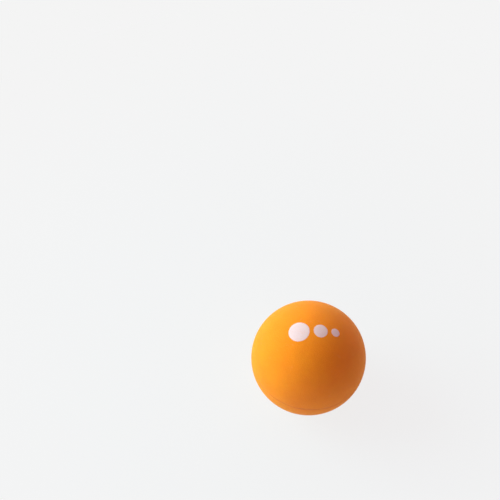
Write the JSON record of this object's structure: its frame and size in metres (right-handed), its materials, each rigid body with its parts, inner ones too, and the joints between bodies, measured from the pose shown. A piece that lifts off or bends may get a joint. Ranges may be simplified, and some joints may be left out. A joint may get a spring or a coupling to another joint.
{
  "type": "squash ball",
  "caption": "Hollow round rubber ball of two bonded halves with a fine seam and pale printed dots, for playing squash.",
  "frame": {"origin": "centre of the ball", "axes": "+Z out through the printed pole, square to the plane of the seam; +X along the row of dots, from the largest to the smallest"},
  "size_m": [0.05, 0.05, 0.05],
  "materials": {
    "orange_rubber": "matte",
    "rubber_solution": "satin",
    "pale_ink": "matte"
  },
  "bodies": {
    "root": {"upper_half_shell": "orange_rubber", "lower_half_shell": "orange_rubber", "seam_film": "rubber_solution", "printed_dots": "pale_ink"}
  },
  "joints": []
}
